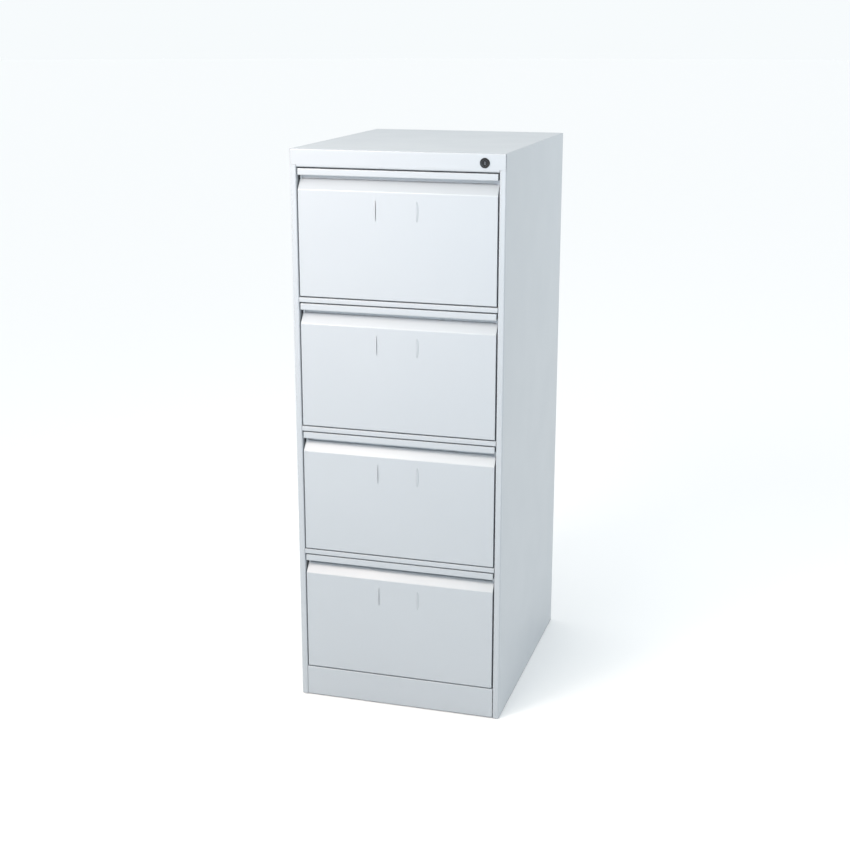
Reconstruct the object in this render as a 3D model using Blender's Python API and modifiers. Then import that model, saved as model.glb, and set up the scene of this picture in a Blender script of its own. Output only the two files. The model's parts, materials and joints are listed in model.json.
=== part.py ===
"""Four-drawer steel filing cabinet, built piece by piece.

Metres, +Z up. The drawers face -Y and the width lies along X. The origin is on the floor, under
the middle of the whole cabinet. Most pieces are folded sheet: an outline drawn along the middle of
the sheet, drawn out along one axis, bent with Bevel and given its thickness with Solidify. Depths
are counted from the cabinet's front plane towards the back.
"""

import math

import bmesh
import bpy
from mathutils import Matrix

# Overall size
HEIGHT = 1.320
WIDTH = 0.494
DEPTH = 0.622
LOCK_PROUD = 0.002
FRONT = LOCK_PROUD - DEPTH / 2
BODY_DEPTH = DEPTH - LOCK_PROUD

# Sheet metal
SHEET = 0.001
HALF = SHEET / 2
BEND = 0.0016
WIDE_BEND = 0.0028
BEND_STEPS = 3
BEND_ANGLE = math.radians(20)
SLIDE_SHEET = 0.0012
GAP = 0.0003
SEAM = 0.0006
OVERLAP = 0.0002

# Case
SKIRT = 0.0015
POST_WIDTH = 0.015
POST_RETURN = 0.014
POST_IN = WIDTH / 2 - POST_WIDTH
PANEL_IN = WIDTH / 2 - SHEET
REAR_RETURN = 0.014
HEADER_HEIGHT = 0.0405
HEADER_BOTTOM = HEIGHT - HEADER_HEIGHT
HEADER_RETURN = 0.016
POST_TOP = HEADER_BOTTOM + 0.005
TOP_EDGE_RADIUS = 0.0018
FLANGE = 0.016
PLINTH_TOP = 0.075
PLINTH_RETURN = 0.022
RAIL_RETURN = 0.018
PAN_HEIGHT = 0.012
PAN_EDGE = 0.050
PAN_FRONT = 0.024
PAN_BACK = 0.600
UPRIGHT_WIDTH = 0.040
UPRIGHT_DEPTHS = {"front": 0.060, "rear": 0.520}
UPRIGHT_BOTTOM = 0.056
UPRIGHT_TOP = 1.270

# Drawers, numbered from the top. Heights marked "over the front" start at a front's bottom edge.
DRAWERS = 4
PITCH = 0.304
REVEAL = 0.0025
FRONT_GAP = 0.003
FRONT_HEIGHT = 0.2875
FRONT_HALF = POST_IN - FRONT_GAP
FRONT_RETURN = 0.022
BEVEL_BOTTOM = 0.2405
BEVEL_TOP = 0.2635
BEVEL_DEPTH = 0.017
RECESS_DEPTH = 0.0205
RECESS_TAB = 0.0050
STRIP_BOTTOM = 0.2725
HEM_DEPTH = 0.0035
INNER_FOLD = 0.0195
HEM_HEIGHT = 0.0045
TRAY_HALF = 0.2189
TRAY_FLOOR = 0.0085
TRAY_FRONT = 0.0236
TRAY_REAR = 0.590
TRAY_BACK_HEIGHT = 0.250
RIM_HEIGHT = 0.262
RIM_WIDTH = 0.012
RIM_LIP = 0.010

# Label holder: two lances pressed out of the front, whose open edges face each other
LANCE_OFFSET = 0.0475
LANCE_MIDDLE = 0.200
LANCE_HEIGHT = 0.048
LANCE_REACH = 0.0042
LANCE_PROUD = 0.0019
SLIT_WIDTH = 0.0007

# Slides: web and flange-tip distances from the middle plane, half height, front and rear depth
SLIDE_MIDDLE = 0.120
CASE_SLIDE = (0.2311, 0.2225, 0.0219, 0.035, 0.580)
MIDDLE_SLIDE = (0.2277, 0.2212, 0.0185, 0.036, 0.577)
DRAWER_SLIDE = (0.2200, 0.2260, 0.0145, 0.035, 0.575)

# Feet
FOOT_X = 0.215
FOOT_DEPTHS = {"front": 0.060, "rear": 0.560}
FOOT_RADIUS = 0.014
STEM_RADIUS = 0.0048
STEM_TOP = 0.020
STEM_HOLE = 0.0052
FOOT_EDGE = 0.0015

# Lock: a cam turns behind the header and lifts the bar, whose hooks stand in the catches' way
LOCK_X = 0.1995
LOCK_Z = HEIGHT - 0.0205
LOCK_HOLE = 0.0098
BARREL_RADIUS = 0.0095
BARREL_REAR = 0.0255
BEZEL_RADIUS = 0.011
BEZEL_CHAMFER = 0.0007
BEZEL_DISH = 0.0004
BORE_RADIUS = 0.0073
PLUG_RADIUS = 0.0070
PLUG_FRONT = -0.0017
PLUG_REAR = 0.0275
KEYWAY = (0.0016, 0.0080, 0.0060)
CAM_ARM = 0.013
CAM_REST = math.radians(-45)
CAM_THICKNESS = 0.0025
CAM_FRONT = PLUG_REAR + GAP
CAM_PIN_RADIUS = 0.002
CAM_PIN_REAR = 0.0345
CAM_HUB = 0.008
CAM_TIP = 0.005
BAR_FRONT = 0.0310
BAR_THICKNESS = 0.002
BAR_INNER = 0.2335
BAR_OUTER = 0.2430
BAR_BOTTOM = 0.100
ARM_INNER = 0.2010
ARM_HALF = 0.0065
SLOT_INNER = 0.2060
SLOT_OUTER = 0.2154
SLOT_HALF = 0.0027
HOOK_INNER = 0.2215
HOOK_HEIGHT = 0.012
CATCH_BOTTOM = 0.205
CATCH_HEIGHT = 0.020
CATCH_OUTER = 0.2308
CATCH_FRONT = 0.0350
CATCH_THICKNESS = 0.002
HOOK_CLEARANCE = 0.002
GUIDE_HEIGHTS = {"lower": 0.150, "upper": 1.120}
GUIDE_LENGTH = 0.020
GUIDE_WALL = 0.0018

ROUND_STEPS = 24
ROUND_ANGLE = math.radians(35)
ARC_STEPS = 12
MERGE = 0.00001


# Scene and materials


def clear_scene():
    for item in list(bpy.data.objects):
        bpy.data.objects.remove(item)


def make_collection(name):
    collection = bpy.data.collections.new(name)
    bpy.context.scene.collection.children.link(collection)
    return collection


def make_material(name, colour, roughness, metallic):
    material = bpy.data.materials.new(name)
    material.use_nodes = True
    shader = material.node_tree.nodes["Principled BSDF"]
    shader.inputs["Base Color"].default_value = (*colour, 1.0)
    shader.inputs["Roughness"].default_value = roughness
    shader.inputs["Metallic"].default_value = metallic
    material.diffuse_color = (*colour, 1.0)
    return material


clear_scene()
CABINET = make_collection("filing_cabinet")
TOOLS = make_collection("cutters")
POWDER_COAT = make_material("powder_coat", (0.72, 0.75, 0.79), 0.45, 0.0)
ZINC = make_material("zinc_plate", (0.62, 0.63, 0.64), 0.35, 1.0)
LOCK_BLACK = make_material("lock_black", (0.02, 0.02, 0.022), 0.30, 0.6)
LOCK_STEEL = make_material("lock_steel", (0.35, 0.35, 0.36), 0.35, 1.0)
NYLON = make_material("nylon", (0.06, 0.06, 0.065), 0.55, 0.0)


# Modelling helpers


def add_object(name, mesh, material, parent=None, location=(0, 0, 0)):
    piece = bpy.data.objects.new(name, mesh)
    mesh.materials.clear()
    mesh.materials.append(material)
    CABINET.objects.link(piece)
    piece.parent = parent
    piece.location = location
    return piece


def add_empty(name, location):
    empty = bpy.data.objects.new(name, None)
    empty.location = location
    CABINET.objects.link(empty)
    return empty


def tool_object(name, mesh):
    tool = bpy.data.objects.new(name, mesh)
    tool.hide_render = True
    tool.display_type = "WIRE"
    TOOLS.objects.link(tool)
    return tool


def finished_mesh(tool):
    """The mesh of a tool object with its modifiers done."""
    bpy.context.view_layer.update()
    graph = bpy.context.evaluated_depsgraph_get()
    return bpy.data.meshes.new_from_object(tool.evaluated_get(graph))


def to_space(axis, across, up, along):
    """A point from its outline coordinates and its distance along the axis."""
    return {
        "X": (along, across, up),
        "Y": (across, along, up),
        "Z": (across, up, along),
    }[axis]


def folded_sheet(name, outline, axis, start, end, thickness=SHEET, bend=BEND):
    """A sheet whose middle follows the open outline, from start to end along the axis."""
    form = bmesh.new()
    corners = [form.verts.new(to_space(axis, a, b, start)) for a, b in outline]
    edges = [form.edges.new(pair) for pair in zip(corners, corners[1:])]
    drawn = bmesh.ops.extrude_edge_only(form, edges=edges)["geom"]
    moved = [item for item in drawn if isinstance(item, bmesh.types.BMVert)]
    bmesh.ops.translate(form, verts=moved, vec=to_space(axis, 0, 0, end - start))
    bmesh.ops.recalc_face_normals(form, faces=form.faces)
    mesh = bpy.data.meshes.new(name)
    form.to_mesh(mesh)
    form.free()
    sheet = tool_object(name + "_sheet", mesh)
    fold = sheet.modifiers.new("bends", "BEVEL")
    fold.width = bend
    fold.segments = BEND_STEPS
    fold.limit_method = "ANGLE"
    fold.angle_limit = BEND_ANGLE
    skin = sheet.modifiers.new("thickness", "SOLIDIFY")
    skin.thickness = thickness
    skin.offset = 0
    skin.use_even_offset = True
    return sheet


def flat_plate(name, outline, axis, start, thickness):
    """A plate cut to the closed outline, from start to start + thickness along the axis."""
    curve = bpy.data.curves.new(name, "CURVE")
    curve.dimensions = "2D"
    curve.fill_mode = "BOTH"
    curve.extrude = thickness / 2
    loop = curve.splines.new("POLY")
    loop.points.add(len(outline) - 1)
    loop.use_cyclic_u = True
    for point, (a, b) in zip(loop.points, outline):
        point.co = (a, b, 0, 1)
    cut = bpy.data.objects.new(name + "_outline", curve)
    TOOLS.objects.link(cut)
    mesh = finished_mesh(cut)
    bpy.data.objects.remove(cut)
    middle = start + thickness / 2
    form = bmesh.new()
    form.from_mesh(mesh)
    bmesh.ops.remove_doubles(form, verts=form.verts, dist=MERGE)
    for point in form.verts:
        point.co = to_space(axis, point.co.x, point.co.y, middle + point.co.z)
    bmesh.ops.recalc_face_normals(form, faces=form.faces)
    form.to_mesh(mesh)
    form.free()
    return tool_object(name + "_plate", mesh)


def block(name, low, high):
    """A box between two opposite corners."""
    form = bmesh.new()
    bmesh.ops.create_cube(form, size=1)
    for point in form.verts:
        point.co = [a + (b - a) * (c + 0.5) for a, b, c in zip(low, high, point.co)]
    mesh = bpy.data.meshes.new(name)
    form.to_mesh(mesh)
    form.free()
    return tool_object(name + "_block", mesh)


def turned(name, profile, axis):
    """A piece turned round Z or Y: the profile holds (radius, distance along the axis).

    It starts at the axis, or on the bore if it has one, at the end that is lower on Z, and then
    goes up its outer side. It is turned over here, because a Screw runs down the outer side.
    """
    form = bmesh.new()
    rim = [form.verts.new((radius, 0, along)) for radius, along in reversed(profile)]
    for pair in zip(rim, rim[1:]):
        form.edges.new(pair)
    if profile[0][0] > 0:
        form.edges.new((rim[-1], rim[0]))
    mesh = bpy.data.meshes.new(name)
    form.to_mesh(mesh)
    form.free()
    piece = tool_object(name + "_turned", mesh)
    turn = piece.modifiers.new("turn", "SCREW")
    turn.axis = "Z"
    turn.steps = ROUND_STEPS
    turn.render_steps = ROUND_STEPS
    turn.use_merge_vertices = True
    turn.merge_threshold = MERGE
    turn.use_smooth_shade = True
    if axis == "Y":
        piece.data = finished_mesh(piece)
        piece.modifiers.clear()
        piece.data.transform(Matrix.Rotation(math.pi / 2, 4, "X") @ Matrix.Scale(-1, 4, (0, 0, 1)))
        piece.data.flip_normals()
    piece.data.set_sharp_from_angle(angle=ROUND_ANGLE)
    return piece


def combine(base, operation, others):
    """Join the other tool objects to the base, or cut them out of it."""
    for other in others:
        change = base.modifiers.new(other.name, "BOOLEAN")
        change.operation = operation
        change.solver = "EXACT"
        change.object = other


def finish(base, name):
    """The finished mesh of a tool object; the tools are cleared away."""
    mesh = finished_mesh(base)
    mesh.name = name
    for tool in list(TOOLS.objects):
        bpy.data.objects.remove(tool)
    return mesh


def depth(distance):
    """Y of a point this far behind the front plane."""
    return FRONT + distance


def behind(outline):
    """An outline in (depth, height) turned into (y, z)."""
    return [(depth(a), b) for a, b in outline]


def front_bottom(number):
    """Height of a drawer front's bottom edge."""
    return PLINTH_TOP + REVEAL + PITCH * (DRAWERS - number)


# Case


def side_panel(name, side):
    """Side sheet bent round at the front into the post, and at the back into a return."""
    middle = WIDTH / 2 - HALF
    post = POST_IN + HALF
    back = BODY_DEPTH - SHEET - GAP - HALF
    outline = [
        (side * post, depth(POST_RETURN)),
        (side * post, depth(HALF)),
        (side * middle, depth(HALF)),
        (side * middle, depth(back)),
        (side * (middle - REAR_RETURN), depth(back)),
    ]
    sheet = folded_sheet(name, outline, "Z", SKIRT, HEIGHT - HALF, bend=WIDE_BEND)
    edges = sorted([side * (POST_IN - 2 * SHEET), side * PANEL_IN])
    header_notch = block(
        name + "_header_notch",
        (edges[0], depth(-SHEET), POST_TOP),
        (edges[1], depth(POST_RETURN + SHEET), HEIGHT + SHEET),
    )
    rear_notch = block(
        name + "_rear_notch",
        (edges[0], depth(back - WIDE_BEND), HEIGHT - FLANGE - SHEET),
        (edges[1], depth(BODY_DEPTH), HEIGHT + SHEET),
    )
    combine(sheet, "DIFFERENCE", [header_notch, rear_notch])
    return add_object(name, finish(sheet, name), POWDER_COAT)


def top_panel():
    """Top sheet with the header turned down in front and a flange along each side."""
    name = "top_panel"
    end = PANEL_IN - SEAM
    back = BODY_DEPTH - SHEET - GAP - HALF
    outline = [
        (HEADER_RETURN, HEADER_BOTTOM + HALF),
        (HALF, HEADER_BOTTOM + HALF),
        (HALF, HEIGHT - HALF),
        (back, HEIGHT - HALF),
        (back, HEIGHT - FLANGE),
    ]
    sheet = folded_sheet(name, behind(outline), "X", -end, end, bend=WIDE_BEND)
    flanges = []
    for label, side in (("left", -1), ("right", 1)):
        edges = sorted([side * (end - OVERLAP), side * (end - OVERLAP - SHEET)])
        low = (edges[0], depth(HEADER_RETURN + FLANGE), HEIGHT - FLANGE)
        high = (edges[1], depth(back - FLANGE), HEIGHT - HALF)
        flanges.append(block("flange_" + label, low, high))
    combine(sheet, "UNION", flanges)
    hole_profile = [(0, -SHEET), (LOCK_HOLE, -SHEET), (LOCK_HOLE, FLANGE), (0, FLANGE)]
    hole = turned("lock_hole", hole_profile, "Y")
    hole.location = (LOCK_X, FRONT, LOCK_Z)
    cutters = [hole]
    for label, side in (("left", -1), ("right", 1)):
        cutters.append(edge_rounding("edge_" + label, side, end))
        edges = sorted([side * (POST_IN - GAP), side * WIDTH / 2])
        low = (edges[0], depth(-SHEET), HEADER_BOTTOM - SHEET)
        high = (edges[1], depth(HEADER_RETURN + SHEET), POST_TOP + GAP)
        cutters.append(block("post_notch_" + label, low, high))
    combine(sheet, "DIFFERENCE", cutters)
    return add_object(name, finish(sheet, name), POWDER_COAT)


def edge_rounding(name, side, end):
    """Cutter that rounds the top panel's edge over a flange."""
    centre = end - TOP_EDGE_RADIUS
    height = HEIGHT - TOP_EDGE_RADIUS
    outline = [
        (side * (end + SHEET), height),
        (side * (end + SHEET), HEIGHT + SHEET),
        (side * centre, HEIGHT + SHEET),
    ]
    for step in range(ARC_STEPS // 2 + 1):
        turn = math.pi / 2 * (1 - step / (ARC_STEPS // 2))
        across = centre + TOP_EDGE_RADIUS * math.cos(turn)
        outline.append((side * across, height + TOP_EDGE_RADIUS * math.sin(turn)))
    return flat_plate(name, outline, "Y", depth(-SHEET), DEPTH)


def back_panel():
    """Flat rear sheet over the side panels' returns, turned in along its bottom edge."""
    name = "back_panel"
    middle = BODY_DEPTH - HALF
    outline = [
        (middle - FLANGE, SKIRT + HALF),
        (middle, SKIRT + HALF),
        (middle, HEIGHT - HALF),
    ]
    end = WIDTH / 2 - REAR_RETURN - SHEET - SEAM
    sheet = folded_sheet(name, behind(outline), "X", -end, end)
    face = block(
        "back_face",
        (-PANEL_IN, depth(BODY_DEPTH - SHEET), SKIRT + WIDE_BEND),
        (PANEL_IN, depth(BODY_DEPTH), HEIGHT - HALF - OVERLAP),
    )
    combine(sheet, "UNION", [face])
    return add_object(name, finish(sheet, name), POWDER_COAT)


def channel(name, bottom, top, reach, end, bend=BEND):
    """A channel across the front, between the posts, with its flanges turned back."""
    outline = [
        (reach, bottom + HALF),
        (HALF, bottom + HALF),
        (HALF, top - HALF),
        (reach, top - HALF),
    ]
    sheet = folded_sheet(name, behind(outline), "X", -end, end, bend=bend)
    return add_object(name, finish(sheet, name), POWDER_COAT)


def plinth():
    return channel("plinth", SKIRT, PLINTH_TOP, PLINTH_RETURN, POST_IN - SEAM, WIDE_BEND)


def cross_rail(number):
    """Rail in the gap below the numbered drawer."""
    top = front_bottom(number) - REVEAL
    bottom = front_bottom(number + 1) + FRONT_HEIGHT + REVEAL
    return channel(f"cross_rail_{number}", bottom, top, RAIL_RETURN, POST_IN - GAP)


def base_pan():
    """Floor of the case, turned up along both sides, with a hole for each foot's stem."""
    name = "base_pan"
    middle = PANEL_IN - GAP - HALF
    outline = [
        (-middle, PAN_EDGE),
        (-middle, PAN_HEIGHT),
        (middle, PAN_HEIGHT),
        (middle, PAN_EDGE),
    ]
    sheet = folded_sheet(name, outline, "Y", depth(PAN_FRONT), depth(PAN_BACK))
    holes = []
    for place, distance in FOOT_DEPTHS.items():
        for side in (-1, 1):
            low = PAN_HEIGHT - FOOT_RADIUS
            high = PAN_HEIGHT + FOOT_RADIUS
            profile = [(0, low), (STEM_HOLE, low), (STEM_HOLE, high), (0, high)]
            hole = turned(f"hole_{place}_{side}", profile, "Z")
            hole.location = (side * FOOT_X, depth(distance), 0)
            holes.append(hole)
    combine(sheet, "DIFFERENCE", holes)
    return add_object(name, finish(sheet, name), POWDER_COAT)


def upright(name, side, distance):
    """Channel inside the side panel, which carries the slides."""
    inner = side * (POST_IN + HALF)
    outer = side * (PANEL_IN - GAP)
    outline = [
        (outer, depth(distance)),
        (inner, depth(distance)),
        (inner, depth(distance + UPRIGHT_WIDTH)),
        (outer, depth(distance + UPRIGHT_WIDTH)),
    ]
    sheet = folded_sheet(name, outline, "Z", UPRIGHT_BOTTOM, UPRIGHT_TOP)
    return add_object(name, finish(sheet, name), ZINC)


def foot_mesh():
    """Nylon glide with a stem that goes up through the base pan."""
    rise = PAN_HEIGHT - HALF - GAP
    profile = [
        (0, 0),
        (FOOT_RADIUS - FOOT_EDGE, 0),
        (FOOT_RADIUS, FOOT_EDGE),
        (FOOT_RADIUS - FOOT_EDGE, rise),
        (STEM_RADIUS, rise),
        (STEM_RADIUS, STEM_TOP - FOOT_EDGE),
        (STEM_RADIUS - FOOT_EDGE, STEM_TOP),
        (0, STEM_TOP),
    ]
    return finish(turned("foot", profile, "Z"), "foot")


def slide_mesh(name, side, member):
    """One member of a slide: a channel along Y, at the middle height of its own origin."""
    web, tip, half, front, rear = member
    outline = [
        (side * tip, -half),
        (side * web, -half),
        (side * web, half),
        (side * tip, half),
    ]
    sheet = folded_sheet(name, outline, "Y", front, rear, thickness=SLIDE_SHEET, bend=SLIDE_SHEET)
    return finish(sheet, name)


# Drawers


def drawer_front_mesh():
    """Front sheet: face, bevel, finger recess and upper strip in one fold, with closed ends."""
    name = "drawer_front"
    top = FRONT_HEIGHT - HALF
    hem = STRIP_BOTTOM + HALF
    outline = [
        (FRONT_RETURN, HALF),
        (HALF, HALF),
        (HALF, BEVEL_BOTTOM),
        (BEVEL_DEPTH, BEVEL_TOP),
        (RECESS_DEPTH, BEVEL_TOP),
        (RECESS_DEPTH, top),
        (HALF, top),
        (HALF, hem),
        (HALF + HEM_DEPTH, hem),
        (HALF + HEM_DEPTH, hem + HEM_HEIGHT),
    ]
    end = FRONT_HALF - GAP
    sheet = folded_sheet(name, outline, "X", -end, end)
    cheek = [
        (FRONT_RETURN - HALF, HALF),
        (HALF, HALF),
        (HALF, BEVEL_BOTTOM),
        (BEVEL_DEPTH, BEVEL_TOP),
        (BEVEL_DEPTH, STRIP_BOTTOM + SHEET),
        (HALF, STRIP_BOTTOM + HEM_HEIGHT),
        (HALF, top),
        (RECESS_DEPTH, top),
        (RECESS_DEPTH, BEVEL_TOP + OVERLAP),
        (FRONT_RETURN - HALF, BEVEL_TOP + OVERLAP),
    ]
    ends = [
        flat_plate("cheek_left", cheek, "X", -FRONT_HALF, SHEET),
        flat_plate("cheek_right", cheek, "X", FRONT_HALF - SHEET, SHEET),
        recess_tab(-1),
        recess_tab(1),
    ]
    combine(sheet, "UNION", ends + [bulge(f"lance_{side}", side, 0) for side in (-1, 1)])
    combine(sheet, "DIFFERENCE", [bulge(f"pocket_{side}", side, SHEET) for side in (-1, 1)])
    combine(sheet, "DIFFERENCE", [slit(side) for side in (-1, 1)])
    return finish(sheet, name)


def recess_tab(side):
    """Tab turned inwards from a cheek, which closes the end of the finger recess's mouth."""
    edges = sorted([side * (FRONT_HALF - HALF), side * (FRONT_HALF - RECESS_TAB)])
    low = (edges[0], BEVEL_DEPTH - HALF, BEVEL_TOP - HALF)
    high = (edges[1], BEVEL_DEPTH + HALF, STRIP_BOTTOM + HALF)
    return block(f"recess_tab_{side}", low, high)


def bulge(name, side, inset):
    """Half of a flat bulge on the face, cut off square at its edge nearest the middle.

    With an inset it is the hollow under the bulge, which opens through the back of the sheet.
    """
    form = bmesh.new()
    bmesh.ops.create_uvsphere(form, u_segments=16, v_segments=10, radius=1)
    everything = form.verts[:] + form.edges[:] + form.faces[:]
    cut = bmesh.ops.bisect_plane(
        form, geom=everything, plane_co=(0, 0, 0), plane_no=(-side, 0, 0), clear_outer=True
    )
    rim = [item for item in cut["geom_cut"] if isinstance(item, bmesh.types.BMEdge)]
    bmesh.ops.holes_fill(form, edges=rim)
    base = HALF + inset
    forward = LANCE_PROUD - inset + base
    back = base if inset else HALF / 2
    edge = LANCE_OFFSET - (OVERLAP if inset else 0)
    for point in form.verts:
        point.co.x = point.co.x * (LANCE_REACH - inset) + side * edge
        point.co.y = point.co.y * (forward if point.co.y < 0 else back) + base
        point.co.z = point.co.z * (LANCE_HEIGHT / 2 - inset) + LANCE_MIDDLE
    bmesh.ops.recalc_face_normals(form, faces=form.faces)
    mesh = bpy.data.meshes.new(name)
    form.to_mesh(mesh)
    form.free()
    return tool_object(name, mesh)


def slit(side):
    """Slot through the sheet, along a lance's open edge."""
    edges = sorted([side * (LANCE_OFFSET + OVERLAP), side * (LANCE_OFFSET - SLIT_WIDTH)])
    reach = LANCE_HEIGHT / 2 - 2 * SHEET
    low = (edges[0], -HALF, LANCE_MIDDLE - reach)
    high = (edges[1], SHEET * 2, LANCE_MIDDLE + reach)
    return block(f"slit_{side}", low, high)


def inner_front_mesh():
    """Inner sheet that closes the front's back, with its edges turned forward."""
    name = "inner_front"
    middle = FRONT_RETURN + GAP + HALF
    low = SHEET + GAP + HALF
    high = BEVEL_TOP - SHEET - GAP
    outline = [(INNER_FOLD, low), (middle, low), (middle, high), (INNER_FOLD, high)]
    end = FRONT_HALF - SHEET - SEAM
    sheet = folded_sheet(name, outline, "X", -end, end)
    return finish(sheet, name)


def tray_mesh():
    """Drawer body: floor and sides in one fold with file rims, a back, and the lock's catch."""
    name = "tray"
    side = TRAY_HALF - HALF
    rim = RIM_HEIGHT - HALF
    floor = TRAY_FLOOR + HALF
    right = [
        (side, floor),
        (side, rim),
        (side - RIM_WIDTH, rim),
        (side - RIM_WIDTH, rim - RIM_LIP),
    ]
    outline = [(-a, b) for a, b in reversed(right)] + right
    sheet = folded_sheet(name, outline, "Y", TRAY_FRONT, TRAY_REAR)
    back = block(
        "tray_back",
        (-side, TRAY_REAR - 3 * SHEET, floor),
        (side, TRAY_REAR - 2 * SHEET, TRAY_BACK_HEIGHT),
    )
    catch = block(
        "catch",
        (side, CATCH_FRONT, CATCH_BOTTOM),
        (CATCH_OUTER, CATCH_FRONT + CATCH_THICKNESS, CATCH_BOTTOM + CATCH_HEIGHT),
    )
    combine(sheet, "UNION", [back, catch])
    return finish(sheet, name)


# Lock


def lock_housing():
    """Barrel with the round bezel that stands proud of the header."""
    bezel = [
        (BORE_RADIUS, BEZEL_DISH - LOCK_PROUD),
        (BEZEL_RADIUS - BEZEL_CHAMFER, -LOCK_PROUD),
        (BEZEL_RADIUS, BEZEL_CHAMFER - LOCK_PROUD),
        (BEZEL_RADIUS, -GAP),
        (BARREL_RADIUS, -GAP),
        (BARREL_RADIUS, BARREL_REAR),
        (BORE_RADIUS, BARREL_REAR),
    ]
    mesh = finish(turned("lock_housing", bezel, "Y"), "lock_housing")
    return add_object("lock_housing", mesh, LOCK_STEEL, location=(LOCK_X, FRONT, LOCK_Z))


def lock_plug(parent):
    """Turning plug with its keyway."""
    profile = [
        (0, PLUG_FRONT),
        (PLUG_RADIUS, PLUG_FRONT),
        (PLUG_RADIUS, PLUG_REAR),
        (0, PLUG_REAR),
    ]
    plug = turned("lock_plug", profile, "Y")
    width, height, length = KEYWAY
    keyway = block(
        "keyway",
        (-width / 2, PLUG_FRONT - SHEET, -height / 2),
        (width / 2, PLUG_FRONT + length, height / 2),
    )
    combine(plug, "DIFFERENCE", [keyway])
    return add_object("lock_plug", finish(plug, "lock_plug"), LOCK_BLACK, parent)


def lever_outline(hub, tip, arm, angle):
    """A hub circle and a smaller tip circle with their common tangents."""
    lean = math.acos((hub - tip) / arm)
    points = []
    for step in range(ARC_STEPS + 1):
        turn = angle + lean + (math.tau - 2 * lean) * step / ARC_STEPS
        points.append((hub * math.cos(turn), hub * math.sin(turn)))
    for step in range(ARC_STEPS + 1):
        turn = angle - lean + 2 * lean * step / ARC_STEPS
        x = arm * math.cos(angle) + tip * math.cos(turn)
        z = arm * math.sin(angle) + tip * math.sin(turn)
        points.append((x, z))
    return points


def lock_cam(parent):
    """Lever on the plug's rear end, with the pin that lifts the bar."""
    outline = lever_outline(CAM_HUB, CAM_TIP, CAM_ARM, CAM_REST)
    cam = flat_plate("cam", outline, "Y", CAM_FRONT, CAM_THICKNESS)
    start = CAM_FRONT + CAM_THICKNESS / 2
    pin_profile = [
        (0, start),
        (CAM_PIN_RADIUS, start),
        (CAM_PIN_RADIUS, CAM_PIN_REAR),
        (0, CAM_PIN_REAR),
    ]
    pin = turned("pin", pin_profile, "Y")
    pin.location = (CAM_ARM * math.cos(CAM_REST), 0, CAM_ARM * math.sin(CAM_REST))
    combine(cam, "UNION", [pin])
    return add_object("lock_cam", finish(cam, "lock_cam"), ZINC, parent)


def lock_bar(parent):
    """Upright bar with an arm round the cam's pin and a hook beside each drawer."""
    name = "lock_bar"
    arm_middle = LOCK_Z + CAM_ARM * math.sin(CAM_REST)
    hooks = []
    for number in range(DRAWERS, 0, -1):
        top = front_bottom(number) + CATCH_BOTTOM - HOOK_CLEARANCE
        hooks += [
            (BAR_INNER, top - HOOK_HEIGHT),
            (HOOK_INNER, top - HOOK_HEIGHT),
            (HOOK_INNER, top),
            (BAR_INNER, top),
        ]
    outline = [(BAR_OUTER, BAR_BOTTOM), (BAR_INNER, BAR_BOTTOM)] + hooks
    outline += [
        (BAR_INNER, arm_middle - ARM_HALF),
        (ARM_INNER, arm_middle - ARM_HALF),
        (ARM_INNER, arm_middle + ARM_HALF),
        (BAR_OUTER, arm_middle + ARM_HALF),
    ]
    bar = flat_plate(name, outline, "Y", depth(BAR_FRONT), BAR_THICKNESS)
    slot = block(
        "slot",
        (SLOT_INNER, depth(BAR_FRONT - SHEET), arm_middle - SLOT_HALF),
        (SLOT_OUTER, depth(BAR_FRONT + BAR_THICKNESS + SHEET), arm_middle + SLOT_HALF),
    )
    combine(bar, "DIFFERENCE", [slot])
    mesh = finish(bar, name)
    mesh.transform(Matrix.Translation(-parent.location))
    return add_object(name, mesh, ZINC, parent)


def bar_guide(name, bottom):
    """Clip on the right side panel that the bar slides through."""
    front = BAR_FRONT - GAP - GUIDE_WALL
    rear = BAR_FRONT + BAR_THICKNESS + GAP + GUIDE_WALL
    web = BAR_OUTER + GAP
    outer = PANEL_IN - GAP
    outline = [
        (outer, depth(front)),
        (outer, depth(rear)),
        (BAR_INNER, depth(rear)),
        (BAR_INNER, depth(rear - GUIDE_WALL)),
        (web, depth(rear - GUIDE_WALL)),
        (web, depth(front + GUIDE_WALL)),
        (BAR_INNER, depth(front + GUIDE_WALL)),
        (BAR_INNER, depth(front)),
    ]
    clip = flat_plate(name, outline, "Z", bottom, GUIDE_LENGTH)
    return add_object(name, finish(clip, name), NYLON)


# Assembly


def build_case():
    side_panel("side_panel_left", -1)
    side_panel("side_panel_right", 1)
    top_panel()
    back_panel()
    plinth()
    base_pan()
    for number in range(1, DRAWERS):
        cross_rail(number)
    for label, side in (("left", -1), ("right", 1)):
        for place, distance in UPRIGHT_DEPTHS.items():
            upright(f"upright_{place}_{label}", side, distance)
    foot = foot_mesh()
    for label, side in (("left", -1), ("right", 1)):
        for place, distance in FOOT_DEPTHS.items():
            spot = (side * FOOT_X, depth(distance), 0)
            add_object(f"foot_{place}_{label}", foot, NYLON, location=spot)


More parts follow.
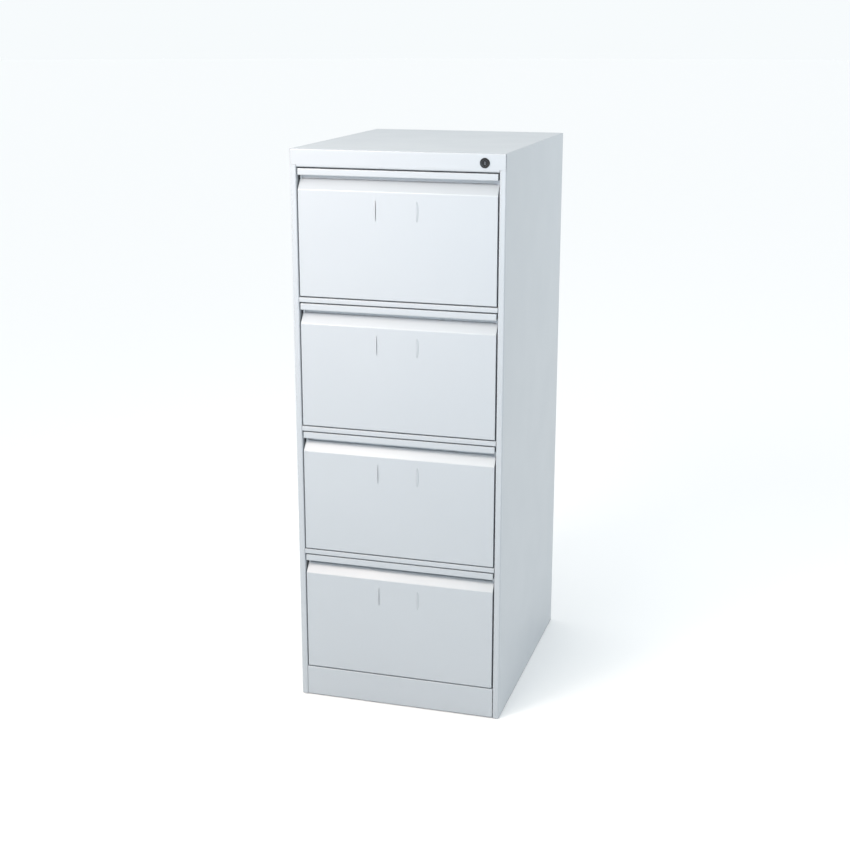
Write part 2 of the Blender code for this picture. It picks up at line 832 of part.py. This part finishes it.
def build_drawers():
    front = drawer_front_mesh()
    inner = inner_front_mesh()
    tray = tray_mesh()
    sides = (("left", -1), ("right", 1))
    members = (
        ("case_slide", CASE_SLIDE),
        ("middle_slide", MIDDLE_SLIDE),
        ("drawer_slide", DRAWER_SLIDE),
    )
    slides = {
        (kind, label): slide_mesh(f"{kind}_{label}", side, member)
        for kind, member in members
        for label, side in sides
    }
    for number in range(1, DRAWERS + 1):
        place = (0, FRONT, front_bottom(number))
        case = add_empty(f"slide_case_{number}", place)
        middle = add_empty(f"slide_middle_{number}", place)
        drawer = add_empty(f"drawer_{number}", place)
        add_object(f"drawer_{number}_front", front, POWDER_COAT, drawer)
        add_object(f"drawer_{number}_inner_front", inner, POWDER_COAT, drawer)
        add_object(f"drawer_{number}_tray", tray, POWDER_COAT, drawer)
        holders = {"case_slide": case, "middle_slide": middle, "drawer_slide": drawer}
        for (kind, label), mesh in slides.items():
            spot = (0, 0, SLIDE_MIDDLE)
            add_object(f"{kind}_{number}_{label}", mesh, ZINC, holders[kind], spot)


def build_lock():
    lock_housing()
    pivot = add_empty("lock_pivot", (LOCK_X, FRONT, LOCK_Z))
    lock_plug(pivot)
    lock_cam(pivot)
    lock_bar(add_empty("lock_bar_slide", (BAR_INNER, depth(BAR_FRONT), BAR_BOTTOM)))
    for place, bottom in GUIDE_HEIGHTS.items():
        bar_guide(f"bar_guide_{place}", bottom)


build_case()
build_drawers()
build_lock()
bpy.context.view_layer.update()
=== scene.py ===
"""Looks of the four-drawer steel filing cabinet: materials, small parts, floor, light and camera."""

import json
import math

import bmesh
import bpy
from mathutils import Matrix, Vector


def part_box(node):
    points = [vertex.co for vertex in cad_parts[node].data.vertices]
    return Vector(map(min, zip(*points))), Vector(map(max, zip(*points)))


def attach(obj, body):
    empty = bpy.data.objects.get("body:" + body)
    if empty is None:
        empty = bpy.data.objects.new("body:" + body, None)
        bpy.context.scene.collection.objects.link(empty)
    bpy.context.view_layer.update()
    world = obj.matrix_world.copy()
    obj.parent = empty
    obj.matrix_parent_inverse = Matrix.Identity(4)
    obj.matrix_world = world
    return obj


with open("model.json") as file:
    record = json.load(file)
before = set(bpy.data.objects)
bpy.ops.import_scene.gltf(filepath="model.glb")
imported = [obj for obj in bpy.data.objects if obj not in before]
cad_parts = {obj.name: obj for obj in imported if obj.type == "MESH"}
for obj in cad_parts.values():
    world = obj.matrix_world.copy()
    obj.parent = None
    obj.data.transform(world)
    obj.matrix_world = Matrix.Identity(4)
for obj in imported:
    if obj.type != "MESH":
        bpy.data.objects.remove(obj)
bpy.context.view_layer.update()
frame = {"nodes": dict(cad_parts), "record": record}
NODES = frame["nodes"]
DRAWERS = 4
SIDES = {"left": -1, "right": 1}

# Lengths are in metres and angles in radians, except where a name or comment says otherwise

# Camera: where it stands, its turn to the left, its tilt downwards, and its lens and sensor in mm
CAMERA_PLACE = (0.9577, -3.3345, 1.5948)
CAMERA_TURN = 0.2865
CAMERA_TILT = 0.2738
CAMERA_LENS = 61.2
CAMERA_SENSOR = 36.0

# Floor and surround
FLOOR_RADIUS = 60
FLOOR_SIDES = 96
FLOOR_COLOUR = (0.95, 0.95, 0.95, 1)
FLOOR_ROUGHNESS = 0.9
FLOOR_GLOSS = 0.1
SURROUND_COLOUR = (0.95, 0.985, 1.0, 1)
SURROUND_STRENGTH = 0.98

# Materials: the part of a noise texture's range that is used, and how zinc's lines stretch along Y
NOISE_LOW = 0.3
NOISE_HIGH = 0.7
DRAWN_LINES = (1, 0.02, 1)

# Slides: sheet, the balls' play, spacing, number and fineness, how far behind the front of the
# middle member the outer and inner rows start, and the cages' sheet
SLIDE_WALL = 0.0012
BALL_PLAY = 0.0001
BALL_PITCH = 0.020
BALLS_IN_ROW = 14
BALL_SUBDIVISIONS = 2
OUTER_BALLS = 0.265
INNER_BALLS = 0.014
CAGE_WALL = 0.0005

# Rivets and spot welds: profiles of (radius, height) points, places along a member as shares of its
# length, spacing, and distance from the back panel's edge
RIVET_PROFILE = [(0, 0.0012), (0.0015, 0.0011), (0.0027, 0.0007), (0.0034, 0.0001), (0.0034, -0.0003)]
RIVET_PLACES = (0.08, 0.50, 0.92)
WELD_PROFILE = [(0, 0.0001), (0.0016, 0.0001), (0.0026, 0.0007), (0.0032, 0.0007), (0.0042, -0.0001)]
WELD_PITCH = 0.120
WELD_INSET = 0.0085

# Ward in the lock's keyway: how far behind the plug's face it starts and ends, and its outline of
# (x, z) points from the plug's centre, a thin upright bar with a lug on its left
WARD_FRONT = 0.0008
WARD_REAR = 0.0055
WARD_OUTLINE = [
    (0.0004, -0.0038),
    (0.0008, -0.0038),
    (0.0008, 0.0038),
    (0.0004, 0.0038),
    (0.0004, 0.0012),
    (0.0001, 0.0009),
    (0.0001, -0.0005),
    (0.0004, -0.0008),
]

# Meshes: the corner from which an edge is sharp, distances under which points are one, turned steps
SHARP_ANGLE = math.radians(32)
SAME_POINT = 0.000001
SAME_CAD_POINT = 0.00001
TURN_STEPS = 24


# Stage


def add_camera():
    camera = bpy.data.objects.new("camera", bpy.data.cameras.new("camera"))
    camera.data.lens = CAMERA_LENS
    camera.data.sensor_width = CAMERA_SENSOR
    camera.location = CAMERA_PLACE
    camera.rotation_euler = (math.pi / 2 - CAMERA_TILT, 0, CAMERA_TURN)
    bpy.context.scene.collection.objects.link(camera)
    bpy.context.scene.camera = camera


def add_area_light(name, place, target, size, power, colour, spread):
    """A rectangular light of some watts, aimed at a target. Its spread is in degrees."""
    lamp = bpy.data.lights.new(name, "AREA")
    lamp.shape = "RECTANGLE"
    lamp.size, lamp.size_y = size
    lamp.energy = power
    lamp.color = colour
    lamp.spread = math.radians(spread)
    holder = bpy.data.objects.new(name, lamp)
    holder.location = place
    aim = Vector(target) - Vector(place)
    holder.rotation_euler = aim.to_track_quat("-Z", "Y").to_euler()
    bpy.context.scene.collection.objects.link(holder)


def add_sun(name, energy, softness, colour):
    """A light from straight overhead, as wide in the sky as its softness in degrees."""
    lamp = bpy.data.lights.new(name, "SUN")
    lamp.energy = energy
    lamp.angle = math.radians(softness)
    lamp.color = colour
    bpy.context.scene.collection.objects.link(bpy.data.objects.new(name, lamp))


def add_lights():
    """Two boxes glint on the lower bevels, a beam lights the upper drawers, and three lights fill."""
    add_area_light(
        "high_box",
        place=(-0.55, -1.9, 2.65),
        target=(-0.1, -0.3, 0.9),
        size=(1.2, 0.9),
        power=12,
        colour=(1.0, 0.98, 0.88),
        spread=180,
    )
    add_area_light(
        "low_box",
        place=(-0.55, -1.9, 2.4),
        target=(-0.1, -0.3, 1.1),
        size=(1.3, 0.4),
        power=8,
        colour=(1.0, 0.95, 0.86),
        spread=180,
    )
    add_area_light(
        "beam",
        place=(-0.9, -1.5, 1.8),
        target=(-0.25, -0.3, 1.1),
        size=(1.0, 0.8),
        power=5.8,
        colour=(1.0, 0.82, 0.74),
        spread=90,
    )
    add_area_light(
        "low_fill",
        place=(-0.4, -5.0, 1.1),
        target=(0, 0, 1.1),
        size=(3.0, 1.2),
        power=2.6,
        colour=(0.70, 0.83, 1.0),
        spread=30,
    )
    add_area_light(
        "side_fill",
        place=(1.9, 0.9, 1.9),
        target=(0.25, 0.3, 1.3),
        size=(1.0, 1.0),
        power=3.0,
        colour=(0.80, 0.93, 1.0),
        spread=110,
    )
    add_sun("overhead", energy=0.20, softness=60, colour=(1.0, 1.0, 1.0))


def add_world():
    world = bpy.data.worlds.new("studio")
    world.use_nodes = True
    surround = world.node_tree.nodes["Background"]
    surround.inputs["Color"].default_value = SURROUND_COLOUR
    surround.inputs["Strength"].default_value = SURROUND_STRENGTH
    bpy.context.scene.world = world


def add_floor():
    form = bmesh.new()
    bmesh.ops.create_circle(form, cap_ends=True, segments=FLOOR_SIDES, radius=FLOOR_RADIUS)
    mesh = bpy.data.meshes.new("floor")
    form.to_mesh(mesh)
    form.free()
    floor = bpy.data.objects.new("floor", mesh)
    bpy.context.scene.collection.objects.link(floor)
    shader = new_material("floor")[0]
    shader.inputs["Base Color"].default_value = FLOOR_COLOUR
    shader.inputs["Roughness"].default_value = FLOOR_ROUGHNESS
    shader.inputs["Specular IOR Level"].default_value = FLOOR_GLOSS
    mesh.materials.append(bpy.data.materials["floor"])


# Materials


def new_material(name):
    """A new material's shader, and its tree's nodes and links."""
    material = bpy.data.materials.new(name)
    material.use_nodes = True
    tree = material.node_tree
    return tree.nodes["Principled BSDF"], tree.nodes, tree.links


def object_coordinates(nodes, links, scale=(1, 1, 1)):
    """Places in metres, stretched by a scale."""
    source = nodes.new("ShaderNodeTexCoord")
    mapping = nodes.new("ShaderNodeMapping")
    mapping.inputs["Scale"].default_value = scale
    links.new(source.outputs["Object"], mapping.inputs["Vector"])
    return mapping.outputs["Vector"]


def noise(nodes, links, vector, scale, detail):
    """A noise factor. The larger the scale, the finer its grain."""
    texture = nodes.new("ShaderNodeTexNoise")
    texture.inputs["Scale"].default_value = scale
    texture.inputs["Detail"].default_value = detail
    links.new(vector, texture.inputs["Vector"])
    return texture.outputs["Fac"]


def between(nodes, links, factor, low, high):
    """A number that runs from low to high with a noise factor."""
    span = nodes.new("ShaderNodeMapRange")
    span.inputs["From Min"].default_value = NOISE_LOW
    span.inputs["From Max"].default_value = NOISE_HIGH
    span.inputs["To Min"].default_value = low
    span.inputs["To Max"].default_value = high
    links.new(factor, span.inputs["Value"])
    return span.outputs["Result"]


def tint(nodes, links, factor, dark, light):
    """A colour that runs from dark to light with a factor."""
    blend = nodes.new("ShaderNodeMix")
    blend.data_type = "RGBA"
    blend.inputs["A"].default_value = (*dark, 1)
    blend.inputs["B"].default_value = (*light, 1)
    links.new(factor, blend.inputs["Factor"])
    return blend.outputs["Result"]


def bump(nodes, links, shader, height, distance):
    """Relief as deep as the distance, from a noise factor."""
    relief = nodes.new("ShaderNodeBump")
    relief.inputs["Distance"].default_value = distance
    relief.inputs["Strength"].default_value = 1.0
    links.new(height, relief.inputs["Height"])
    links.new(relief.outputs["Normal"], shader.inputs["Normal"])


def powder_coat():
    """Cool light-grey paint with a faint cloud in its colour and gloss, and a fine peel."""
    shader, nodes, links = new_material("powder_coat_paint")
    place = object_coordinates(nodes, links)
    cloud = noise(nodes, links, place, scale=3.5, detail=2)
    shade = tint(nodes, links, cloud, dark=(0.395, 0.430, 0.462), light=(0.412, 0.447, 0.478))
    links.new(shade, shader.inputs["Base Color"])
    shader.inputs["Specular IOR Level"].default_value = 0.6
    matt = noise(nodes, links, place, scale=9, detail=3)
    links.new(between(nodes, links, matt, low=0.29, high=0.33), shader.inputs["Roughness"])
    peel = noise(nodes, links, place, scale=260, detail=1)
    bump(nodes, links, shader, peel, distance=0.000012)
    return bpy.data.materials["powder_coat_paint"]


def zinc_plate():
    """Bright zinc on rolled strip, with fine lines from front to rear."""
    shader, nodes, links = new_material("zinc_plating")
    place = object_coordinates(nodes, links, DRAWN_LINES)
    lines = noise(nodes, links, place, scale=900, detail=4)
    shade = tint(nodes, links, lines, dark=(0.60, 0.62, 0.65), light=(0.74, 0.75, 0.76))
    links.new(shade, shader.inputs["Base Color"])
    shader.inputs["Metallic"].default_value = 1.0
    links.new(between(nodes, links, lines, low=0.24, high=0.36), shader.inputs["Roughness"])
    bump(nodes, links, shader, lines, distance=0.00001)
    return bpy.data.materials["zinc_plating"]


def black_bezel():
    """Polished black of the lock's rim."""
    shader, nodes, links = new_material("lock_black_bezel")
    place = object_coordinates(nodes, links)
    grain = noise(nodes, links, place, scale=1500, detail=3)
    shade = tint(nodes, links, grain, dark=(0.008, 0.008, 0.009), light=(0.016, 0.016, 0.018))
    links.new(shade, shader.inputs["Base Color"])
    shader.inputs["Specular IOR Level"].default_value = 0.35
    links.new(between(nodes, links, grain, low=0.22, high=0.32), shader.inputs["Roughness"])
    return bpy.data.materials["lock_black_bezel"]


def black_plug():
    """Duller black of the lock's turning plug, with a fine grain."""
    shader, nodes, links = new_material("lock_black_finish")
    place = object_coordinates(nodes, links)
    grain = noise(nodes, links, place, scale=1800, detail=3)
    shade = tint(nodes, links, grain, dark=(0.006, 0.006, 0.007), light=(0.012, 0.012, 0.013))
    links.new(shade, shader.inputs["Base Color"])
    shader.inputs["Specular IOR Level"].default_value = 0.25
    links.new(between(nodes, links, grain, low=0.25, high=0.35), shader.inputs["Roughness"])
    bump(nodes, links, shader, grain, distance=0.00001)
    return bpy.data.materials["lock_black_finish"]


def moulded_nylon():
    """Black nylon of the glides and the lock bar's guides, with a moulded grain."""
    shader, nodes, links = new_material("moulded_nylon")
    place = object_coordinates(nodes, links)
    grain = noise(nodes, links, place, scale=1200, detail=3)
    shade = tint(nodes, links, grain, dark=(0.045, 0.045, 0.048), light=(0.065, 0.065, 0.070))
    links.new(shade, shader.inputs["Base Color"])
    links.new(between(nodes, links, grain, low=0.5, high=0.62), shader.inputs["Roughness"])
    bump(nodes, links, shader, grain, distance=0.00004)
    return bpy.data.materials["moulded_nylon"]


def bright_steel():
    """Ground balls and rivet heads."""
    shader, nodes, links = new_material("bright_steel")
    place = object_coordinates(nodes, links)
    grain = noise(nodes, links, place, scale=2500, detail=3)
    shade = tint(nodes, links, grain, dark=(0.62, 0.62, 0.63), light=(0.78, 0.78, 0.79))
    links.new(shade, shader.inputs["Base Color"])
    shader.inputs["Metallic"].default_value = 1.0
    links.new(between(nodes, links, grain, low=0.12, high=0.22), shader.inputs["Roughness"])
    return bpy.data.materials["bright_steel"]


FINISHES = {
    "powder_coat": powder_coat(),
    "zinc_plate": zinc_plate(),
    "lock_bezel": black_bezel(),
    "lock_plug": black_plug(),
    "nylon": moulded_nylon(),
}
BRIGHT_STEEL = bright_steel()


# CAD nodes


def smooth_by_angle():
    """Modifier nodes that shade a mesh smooth, except at its sharp corners."""
    group = bpy.data.node_groups.new("smooth_by_angle", "GeometryNodeTree")
    group.interface.new_socket("Geometry", in_out="INPUT", socket_type="NodeSocketGeometry")
    group.interface.new_socket("Geometry", in_out="OUTPUT", socket_type="NodeSocketGeometry")
    entry = group.nodes.new("NodeGroupInput")
    leave = group.nodes.new("NodeGroupOutput")
    angle = group.nodes.new("GeometryNodeInputMeshEdgeAngle")
    sharp = group.nodes.new("FunctionNodeCompare")
    sharp.inputs["B"].default_value = SHARP_ANGLE
    normal = group.nodes.new("GeometryNodeSetMeshNormal")
    smooth = group.nodes.new("GeometryNodeSetShadeSmooth")
    group.links.new(angle.outputs["Unsigned Angle"], sharp.inputs["A"])
    group.links.new(entry.outputs[0], smooth.inputs["Geometry"])
    group.links.new(smooth.outputs["Geometry"], normal.inputs["Mesh"])
    group.links.new(sharp.outputs["Result"], normal.inputs["Edge Sharpness"])
    group.links.new(normal.outputs["Mesh"], leave.inputs[0])
    return group


def refine(node, group):
    """Modifiers for one CAD node: its faces joined, then smooth between its sharp corners."""
    weld = node.modifiers.new("joined_faces", "WELD")
    weld.merge_threshold = SAME_CAD_POINT
    shading = node.modifiers.new("shading", "NODES")
    shading.node_group = group
    normals = node.modifiers.new("flat_faces_first", "WEIGHTED_NORMAL")
    normals.keep_sharp = True
    normals.weight = 100


def finish_cad():
    """Gives every CAD node its shading and its material slot's finish."""
    group = smooth_by_angle()
    slots = {part["node"]: part["material_slot"] for part in frame["record"]["subparts"]}
    for name, node in NODES.items():
        refine(node, group)
        node.material_slots[0].material = FINISHES[slots[name]]


# Small pieces


def add_piece(name, form, material, body):
    """Make a bmesh, in world coordinates, into a piece that rides on a body."""
    bmesh.ops.remove_doubles(form, verts=form.verts, dist=SAME_POINT)
    bmesh.ops.recalc_face_normals(form, faces=form.faces)
    for face in form.faces:
        face.smooth = True
    for edge in form.edges:
        edge.smooth = edge.calc_face_angle(0) < SHARP_ANGLE
    mesh = bpy.data.meshes.new(name)
    form.to_mesh(mesh)
    form.free()
    mesh.materials.append(material)
    piece = bpy.data.objects.new(name, mesh)
    bpy.context.scene.collection.objects.link(piece)
    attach(piece, body)


def extrude(form, outline, front, rear):
    """Draw a closed outline of (x, z) points out along Y."""
    rings = [[form.verts.new((x, y, z)) for x, z in outline] for y in (front, rear)]
    for here in range(len(outline)):
        after = here + 1 - len(outline)
        form.faces.new((rings[0][here], rings[0][after], rings[1][after], rings[1][here]))
    form.faces.new(rings[0])
    form.faces.new(rings[1][::-1])


def turn(form, profile, centre, along):
    """Turn a line of (radius, height) points about the direction along, from a centre."""
    aim = Vector(along).to_track_quat("Z", "Y").to_matrix()
    rings = []
    for step in range(TURN_STEPS):
        angle = math.tau * step / TURN_STEPS
        spoke = Vector((math.cos(angle), math.sin(angle), 0))
        points = [Vector(centre) + aim @ (spoke * r + Vector((0, 0, h))) for r, h in profile]
        rings.append([form.verts.new(point) for point in points])
    for here, ring in enumerate(rings):
        after = rings[here - TURN_STEPS + 1]
        for low in range(len(profile) - 1):
            high = low + 1
            form.faces.new((ring[low], after[low], after[high], ring[high]))


def half_height(node):
    """Half of a node's height."""
    low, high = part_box(node)
    return (high[2] - low[2]) / 2


def reach(node):
    """Nearest and farthest distance of a node from the middle plane."""
    low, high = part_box(node)
    return sorted((abs(low[0]), abs(high[0])))


def add_race(balls, cages, side, around, inside, start):
    """Two rows of balls between two slide members, and the channel-shaped cage that holds them."""
    gap_top = half_height(around) - SLIDE_WALL
    level = (gap_top + half_height(inside)) / 2
    radius = (gap_top - half_height(inside)) / 2 - BALL_PLAY
    ball_x = (reach(around)[0] + reach(inside)[1]) / 2
    web_x = (reach(inside)[1] + reach(around)[1] - SLIDE_WALL) / 2
    low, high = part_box(around)
    middle = (low[2] + high[2]) / 2
    for row in (-1, 1):
        for number in range(BALLS_IN_ROW):
            place = (side * ball_x, start + number * BALL_PITCH, middle + row * level)
            matrix = Matrix.Translation(place)
            bmesh.ops.create_icosphere(
                balls, subdivisions=BALL_SUBDIVISIONS, radius=radius, matrix=matrix
            )
    tip = ball_x - radius
    thick = CAGE_WALL / 2
    channel = [
        (tip, level + thick),
        (web_x + thick, level + thick),
        (web_x + thick, -level - thick),
        (tip, -level - thick),
        (tip, -level + thick),
        (web_x - thick, -level + thick),
        (web_x - thick, level - thick),
        (tip, level - thick),
    ]
    outline = [(side * x, middle + z) for x, z in channel]
    end = start + (BALLS_IN_ROW - 1) * BALL_PITCH
    extrude(cages, outline, start - BALL_PITCH / 2, end + BALL_PITCH / 2)


def slide_balls(number, hand):
    """Balls and cages of one slide. They ride on its middle member."""
    case_member = f"case_slide_{number}_{hand}"
    middle_member = f"middle_slide_{number}_{hand}"
    drawer_member = f"drawer_slide_{number}_{hand}"
    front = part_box(middle_member)[0][1]
    balls = bmesh.new()
    cages = bmesh.new()
    side = SIDES[hand]
    add_race(balls, cages, side, case_member, middle_member, front + OUTER_BALLS)
    add_race(balls, cages, side, middle_member, drawer_member, front + INNER_BALLS)
    body = f"slide_middle_{number}"
    add_piece(f"slide_{number}_{hand}_balls", balls, BRIGHT_STEEL, body)
    add_piece(f"slide_{number}_{hand}_cages", cages, FINISHES["zinc_plate"], body)


def slide_rivets(number, hand):
    """Domed rivets that hold a drawer's slide members to its tray."""
    member = f"drawer_slide_{number}_{hand}"
    low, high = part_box(member)
    face_x = SIDES[hand] * (reach(member)[0] + SLIDE_WALL)
    middle = (low[2] + high[2]) / 2
    rivets = bmesh.new()
    for share in RIVET_PLACES:
        centre = (face_x, low[1] + share * (high[1] - low[1]), middle)
        turn(rivets, RIVET_PROFILE, centre, (SIDES[hand], 0, 0))
    add_piece(f"slide_{number}_{hand}_rivets", rivets, BRIGHT_STEEL, f"drawer_{number}")


def weld_marks():
    """Painted rings left by the spot welds down both sides of the back panel."""
    low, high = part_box("back_panel")
    marks = bmesh.new()
    count = round((high[2] - low[2]) / WELD_PITCH)
    for step in range(1, count):
        level = low[2] + (high[2] - low[2]) * step / count
        for x in (low[0] + WELD_INSET, high[0] - WELD_INSET):
            turn(marks, WELD_PROFILE, (x, high[1], level), (0, 1, 0))
    add_piece("back_weld_marks", marks, FINISHES["powder_coat"], "case")


def keyway_ward():
    """Steel ward that shows as a bright line in the plug's keyway."""
    low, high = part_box("lock_plug")
    centre = ((low[0] + high[0]) / 2, (low[2] + high[2]) / 2)
    ward = bmesh.new()
    outline = [(centre[0] + x, centre[1] + z) for x, z in WARD_OUTLINE]
    extrude(ward, outline, low[1] + WARD_FRONT, low[1] + WARD_REAR)
    add_piece("lock_keyway_ward", ward, FINISHES["zinc_plate"], "lock")


def add_small_pieces():
    for number in range(1, DRAWERS + 1):
        for hand in SIDES:
            slide_balls(number, hand)
            slide_rivets(number, hand)
    weld_marks()
    keyway_ward()


finish_cad()
add_small_pieces()
add_floor()
add_world()
add_lights()
add_camera()
bpy.context.scene.view_settings.view_transform = "Standard"
